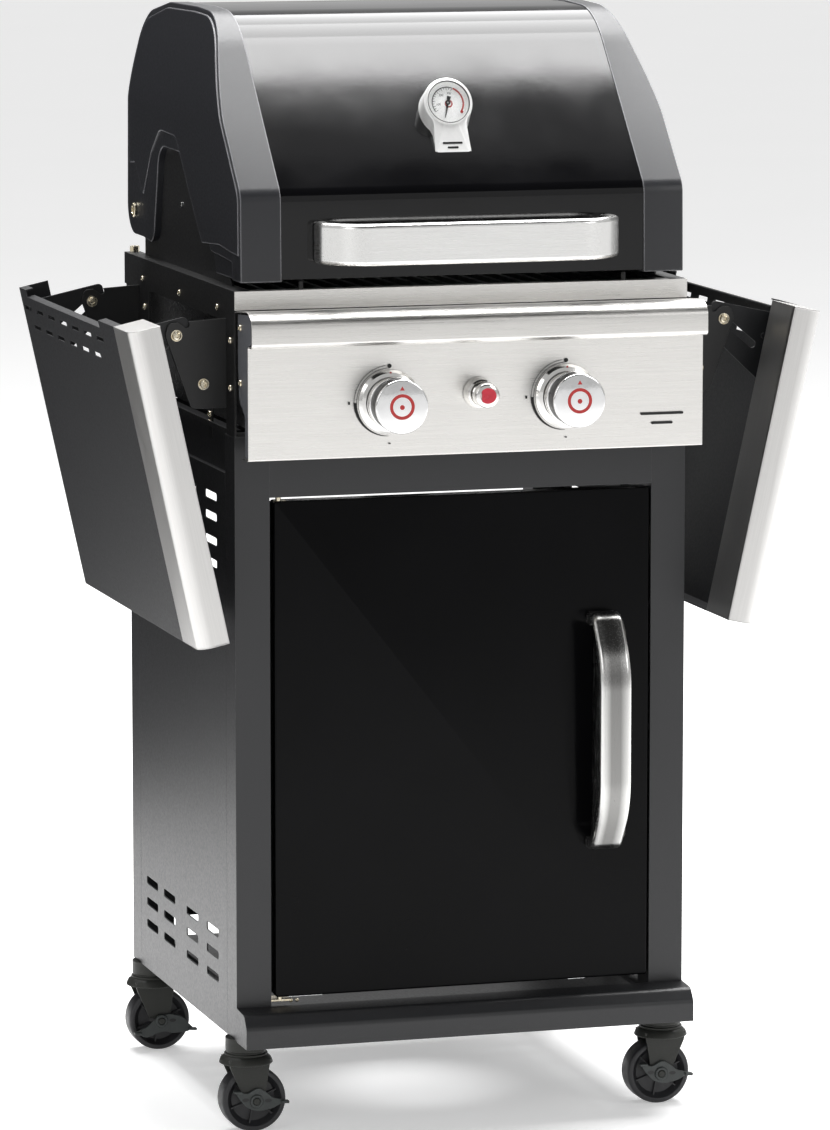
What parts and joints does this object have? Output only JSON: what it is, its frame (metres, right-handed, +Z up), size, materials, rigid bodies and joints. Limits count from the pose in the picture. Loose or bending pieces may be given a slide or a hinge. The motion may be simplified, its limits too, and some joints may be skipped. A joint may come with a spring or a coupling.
{
  "type": "gas barbecue grill",
  "caption": "Gas barbecue grill on a closed cart with a hinged domed lid, knobs on a steel panel, folding side shelves, a cabinet door and braked casters.",
  "frame": {"origin": "on the floor, under the middle of the whole outline", "axes": "+Z up, +Y from the cook's side to the back, +X to the cook's right"},
  "size_m": [0.76, 0.5848, 1.187],
  "materials": {
    "cart_powder_coat": "satin powder coat",
    "shelf_powder_coat": "satin powder coat",
    "bracket_black": "satin black",
    "firebox_enamel": "semi-gloss enamel",
    "panel_steel": "horizontal brushing",
    "handle_steel": "fine brushing",
    "trim_steel": "fine brushing",
    "end_cap_grey": "cast grey",
    "bezel_chrome": "polished",
    "pipe_steel": "plain",
    "valve_brass": "cast",
    "burner_steel": "heat tinted",
    "tamer_enamel": "enamel",
    "grate_iron": "enamelled iron",
    "rack_wire": "plated wire",
    "igniter_housing": "moulded",
    "zinc_hardware": "yellow zinc plated",
    "caster_black": "satin black",
    "pedal_plastic": "moulded",
    "wheel_plastic": "moulded",
    "tray_steel": "galvanised",
    "cup_aluminium": "foil",
    "gloss_black_enamel": "high gloss enamel",
    "lid_end_casting": "fine grained satin coat",
    "thermometer_metal": "bright satin",
    "dial_white": "printed",
    "dial_glass": "clear",
    "needle_black": "painted",
    "bumper_rubber": "moulded",
    "knob_chrome": "chrome cap on a black skirt",
    "igniter_cap": "red cap in a chrome sleeve"
  },
  "bodies": {
    "cart": {"left_side_panel": "cart_powder_coat", "right_side_panel": "cart_powder_coat", "corner_posts": "cart_powder_coat", "base_panel": "cart_powder_coat", "front_skirt": "cart_powder_coat", "cross_rails": "cart_powder_coat", "firebox": "firebox_enamel", "firebox_frames": "bracket_black", "front_band": "panel_steel", "control_panel": "panel_steel", "panel_end_caps": "end_cap_grey", "panel_bezels": "bezel_chrome", "gas_manifold": "pipe_steel", "gas_valves": "valve_brass", "burners": "burner_steel", "flame_tamers": "tamer_enamel", "cooking_grates": "grate_iron", "warming_rack": "rack_wire", "igniter_module": "igniter_housing", "shelf_brackets": "bracket_black", "frame_fasteners": "zinc_hardware", "door_fittings": "zinc_hardware", "caster_sockets": "caster_black"},
    "tray": {"grease_tray": "tray_steel", "drip_cup": "cup_aluminium"},
    "door": {"door_panel": "gloss_black_enamel", "door_handle": "handle_steel", "door_pins": "zinc_hardware"},
    "lid": {"lid_shell": "gloss_black_enamel", "lid_left_end": "lid_end_casting", "lid_right_end": "lid_end_casting", "lid_handle": "handle_steel", "thermometer_housing": "thermometer_metal", "thermometer_dial": "dial_white", "thermometer_glass": "dial_glass", "lid_bumpers": "bumper_rubber"},
    "needle": {"thermometer_needle": "needle_black"},
    "left_stem": {"left_knob_stem": "zinc_hardware"},
    "left_knob": {"left_knob": "knob_chrome"},
    "right_stem": {"right_knob_stem": "zinc_hardware"},
    "right_knob": {"right_knob": "knob_chrome"},
    "igniter": {"igniter_button": "igniter_cap"},
    "left_shelf_bolts": {"left_shelf_pivots": "zinc_hardware"},
    "left_shelf": {"left_shelf_panel": "shelf_powder_coat", "left_shelf_trim": "trim_steel"},
    "right_shelf_bolts": {"right_shelf_pivots": "zinc_hardware"},
    "right_shelf": {"right_shelf_panel": "shelf_powder_coat", "right_shelf_trim": "trim_steel"},
    "front_left_caster": {"front_left_fork": "caster_black"},
    "front_left_wheel": {"front_left_wheel": "wheel_plastic"},
    "front_left_pedal": {"front_left_pedal": "pedal_plastic"},
    "front_right_caster": {"front_right_fork": "caster_black"},
    "front_right_wheel": {"front_right_wheel": "wheel_plastic"},
    "front_right_pedal": {"front_right_pedal": "pedal_plastic"},
    "rear_left_caster": {"rear_left_fork": "caster_black"},
    "rear_left_wheel": {"rear_left_wheel": "wheel_plastic"},
    "rear_left_pedal": {"rear_left_pedal": "pedal_plastic"},
    "rear_right_caster": {"rear_right_fork": "caster_black"},
    "rear_right_wheel": {"rear_right_wheel": "wheel_plastic"},
    "rear_right_pedal": {"rear_right_pedal": "pedal_plastic"}
  },
  "joints": [
    {"name": "tray_slide", "type": "slide", "parent": "cart", "child": "tray", "axis": [0, 1, 0], "range_m": [0, 0.33]},
    {"name": "door_hinge", "type": "hinge", "parent": "cart", "child": "door", "pos_m": [-0.2015, -0.1838, 0.4135], "axis": [0, 0, -1], "range_deg": [0, 110]},
    {"name": "lid_hinge", "type": "hinge", "parent": "cart", "child": "lid", "pos_m": [0, 0.2577, 0.952], "axis": [-1, 0, 0], "range_deg": [0, 80]},
    {"name": "needle_turn", "type": "hinge", "parent": "lid", "child": "needle", "pos_m": [0, -0.1383, 1.093], "axis": [0, 0.9397, -0.342], "range_deg": [0, 290]},
    {"name": "left_knob_turn", "type": "hinge", "parent": "cart", "child": "left_stem", "pos_m": [-0.097, -0.2453, 0.788], "axis": [0, -1, 0], "range_deg": [0, 180]},
    {"name": "left_knob_push", "type": "slide", "parent": "left_stem", "child": "left_knob", "axis": [0, 1, 0], "range_m": [0, 0.004], "stiffness_N_per_m": 600},
    {"name": "right_knob_turn", "type": "hinge", "parent": "cart", "child": "right_stem", "pos_m": [0.097, -0.2453, 0.788], "axis": [0, -1, 0], "range_deg": [0, 180]},
    {"name": "right_knob_push", "type": "slide", "parent": "right_stem", "child": "right_knob", "axis": [0, 1, 0], "range_m": [0, 0.004], "stiffness_N_per_m": 600},
    {"name": "igniter_push", "type": "slide", "parent": "cart", "child": "igniter", "axis": [0, 1, 0], "range_m": [0, 0.005], "stiffness_N_per_m": 400},
    {"name": "left_shelf_fold", "type": "hinge", "parent": "cart", "child": "left_shelf_bolts", "pos_m": [-0.304, 0.0377, 0.855], "axis": [0, 1, 0], "range_deg": [0, 102.3]},
    {"name": "left_shelf_slide", "type": "slide", "parent": "left_shelf_bolts", "child": "left_shelf", "axis": [0.7607, 0, 0.6491], "range_m": [0, 0.04374]},
    {"name": "right_shelf_fold", "type": "hinge", "parent": "cart", "child": "right_shelf_bolts", "pos_m": [0.304, 0.0377, 0.855], "axis": [0, -1, 0], "range_deg": [0, 102.3]},
    {"name": "right_shelf_slide", "type": "slide", "parent": "right_shelf_bolts", "child": "right_shelf", "axis": [-0.7607, 0, 0.6491], "range_m": [0, 0.04374]},
    {"name": "front_left_swivel", "type": "hinge", "parent": "cart", "child": "front_left_caster", "pos_m": [-0.234, -0.1653, 0.095], "axis": [0, 0, 1], "continuous": true},
    {"name": "front_left_roll", "type": "hinge", "parent": "front_left_caster", "child": "front_left_wheel", "pos_m": [-0.228, -0.1653, 0.035], "axis": [0, 1, 0], "continuous": true},
    {"name": "front_left_brake", "type": "hinge", "parent": "front_left_caster", "child": "front_left_pedal", "pos_m": [-0.228, -0.1853, 0.035], "axis": [0, 1, 0], "range_deg": [0, 12]},
    {"name": "front_right_swivel", "type": "hinge", "parent": "cart", "child": "front_right_caster", "pos_m": [0.234, -0.1653, 0.095], "axis": [0, 0, 1], "continuous": true},
    {"name": "front_right_roll", "type": "hinge", "parent": "front_right_caster", "child": "front_right_wheel", "pos_m": [0.228, -0.1653, 0.035], "axis": [0, 1, 0], "continuous": true},
    {"name": "front_right_brake", "type": "hinge", "parent": "front_right_caster", "child": "front_right_pedal", "pos_m": [0.228, -0.1853, 0.035], "axis": [0, 1, 0], "range_deg": [0, 12]},
    {"name": "rear_left_swivel", "type": "hinge", "parent": "cart", "child": "rear_left_caster", "pos_m": [-0.234, 0.2447, 0.095], "axis": [0, 0, 1], "continuous": true},
    {"name": "rear_left_roll", "type": "hinge", "parent": "rear_left_caster", "child": "rear_left_wheel", "pos_m": [-0.228, 0.2447, 0.035], "axis": [0, 1, 0], "continuous": true},
    {"name": "rear_left_brake", "type": "hinge", "parent": "rear_left_caster", "child": "rear_left_pedal", "pos_m": [-0.228, 0.2247, 0.035], "axis": [0, 1, 0], "range_deg": [0, 12]},
    {"name": "rear_right_swivel", "type": "hinge", "parent": "cart", "child": "rear_right_caster", "pos_m": [0.234, 0.2447, 0.095], "axis": [0, 0, 1], "continuous": true},
    {"name": "rear_right_roll", "type": "hinge", "parent": "rear_right_caster", "child": "rear_right_wheel", "pos_m": [0.228, 0.2447, 0.035], "axis": [0, 1, 0], "continuous": true},
    {"name": "rear_right_brake", "type": "hinge", "parent": "rear_right_caster", "child": "rear_right_pedal", "pos_m": [0.228, 0.2247, 0.035], "axis": [0, 1, 0], "range_deg": [0, 12]}
  ],
  "couplings": [
    {"joint": "left_shelf_slide", "follows": "left_shelf_fold", "m_per_rad": 0.024499},
    {"joint": "right_shelf_slide", "follows": "right_shelf_fold", "m_per_rad": 0.024499}
  ]
}
